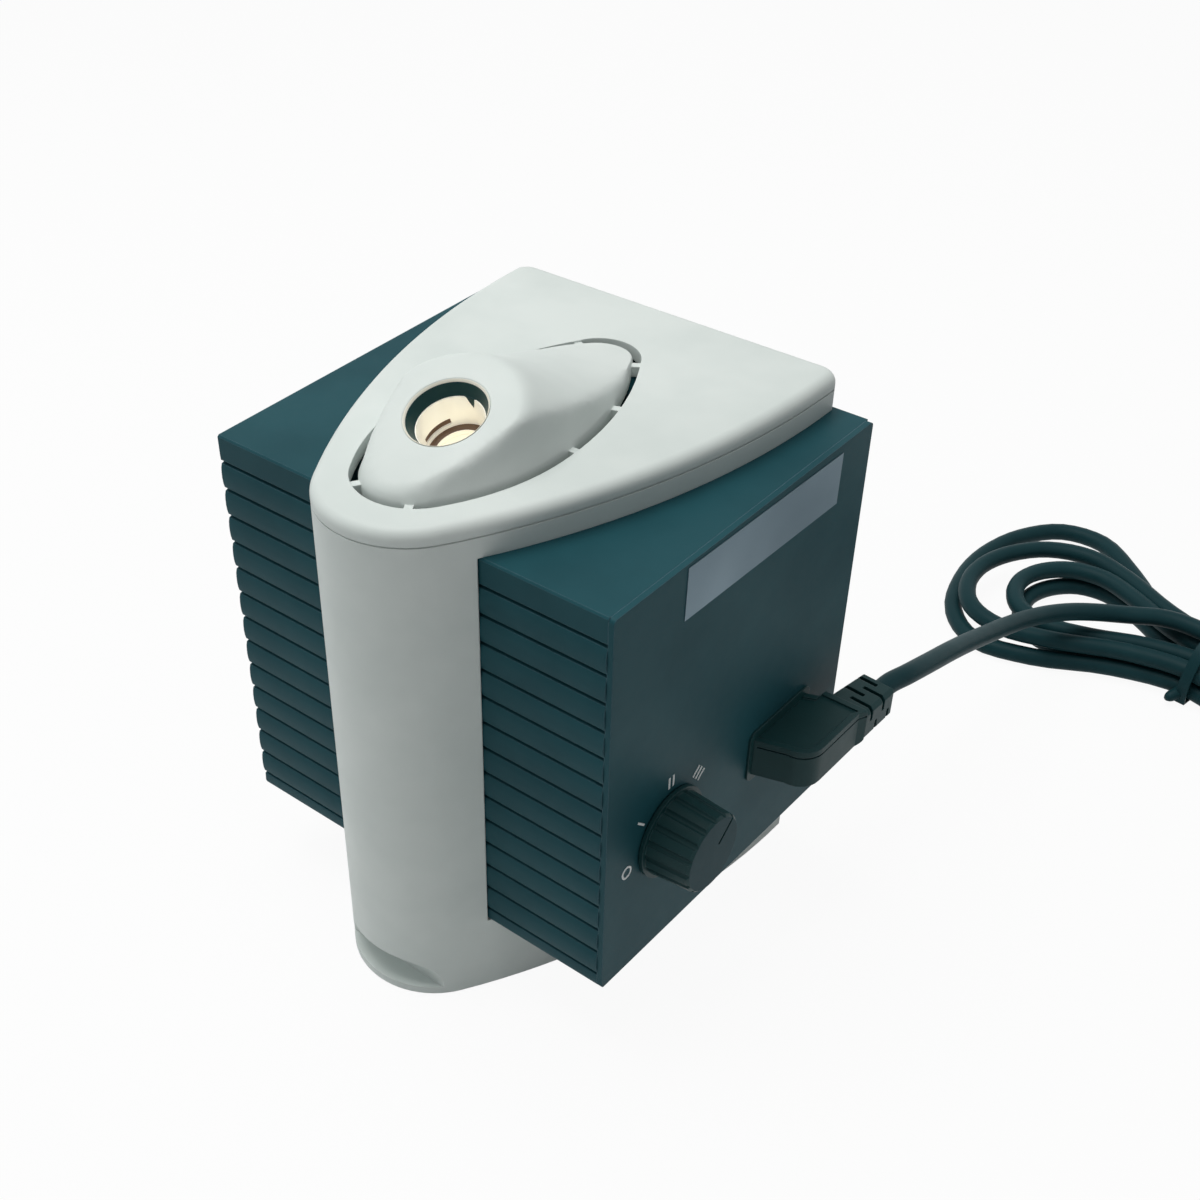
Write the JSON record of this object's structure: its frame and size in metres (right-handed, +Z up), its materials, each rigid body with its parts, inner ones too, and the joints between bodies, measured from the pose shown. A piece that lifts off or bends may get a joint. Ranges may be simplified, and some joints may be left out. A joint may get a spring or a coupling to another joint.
{
  "type": "fiber optic illuminator",
  "caption": "Bench light source: ribbed lamp box on a curved light-grey spine, raised tilted light-guide port on top, four-step selector knob and angled mains lead on the right side.",
  "frame": {"origin": "centre of the front rubber foot on the table, under the nose of the spine", "axes": "+Z up, -Y to the front where the nose and the ribs are, +X to the side with the knob and the mains inlet"},
  "size_m": [0.4438, 0.3975, 0.2105],
  "materials": {
    "light_shell": "fine-textured moulded plastic, light grey",
    "dark_case": "matte slate blue-grey coat",
    "black_plastic": "matte black plastic",
    "brass": "turned brass",
    "glass": "polished",
    "reflector": "bright metallised bowl",
    "steel": "zinc-plated sheet",
    "core": "laminated steel sheet",
    "copper": "enamelled copper wire",
    "white_plastic": "moulded",
    "ceramic": "glazed ceramic",
    "board": "lacquered board",
    "lead_red": "silicone sleeve",
    "pad": "soft rubber",
    "cord": "satin cord jacket",
    "print": "printed marks",
    "label": "bare brushed label plate"
  },
  "bodies": {
    "base": {"heat_filter": "glass", "filter_clip": "steel", "lamp_reflector": "reflector", "lamp_capsule": "glass", "lamp_pins": "brass", "lamp_socket": "ceramic", "lamp_frame": "steel", "lamp_frame_screws": "steel", "lamp_leads": "lead_red", "spine_body": "light_shell", "base_plate": "dark_case", "base_screws": "steel", "foot_pads": "pad", "case_sleeve": "dark_case", "case_screws": "steel", "side_panel_right": "dark_case", "side_panel_left": "dark_case", "transformer_core": "core", "transformer_bobbin": "white_plastic", "transformer_winding": "copper", "transformer_strap": "steel", "strap_screws": "steel", "circuit_board": "board", "board_parts": "black_plastic", "board_standoffs": "brass", "rotary_switch": "black_plastic", "switch_nut": "steel", "dial_marks": "print", "inlet_body": "black_plastic", "inlet_pins": "steel", "plug_body": "black_plastic", "plug_boot": "cord", "cord_run": "cord", "cord_hank": "cord", "hank_tie": "cord", "mains_plug": "black_plastic", "mains_plug_pins": "brass", "label_plate": "label"},
    "cover": {"top_cover": "light_shell", "port_dome": "light_shell", "port_ring": "black_plastic", "guide_sleeve": "brass", "exit_window": "glass", "window_clip": "steel"},
    "knob": {"selector_knob": "black_plastic", "switch_shaft": "steel"}
  },
  "joints": [
    {"name": "selector", "type": "hinge", "parent": "base", "child": "knob", "pos_m": [0.0765, 0.032, 0.078], "axis": [1, 0, 0], "range_deg": [0, 144]},
    {"name": "cover_lift", "type": "slide", "parent": "base", "child": "cover", "axis": [0, 0, 1], "range_m": [0, 0.06]}
  ]
}
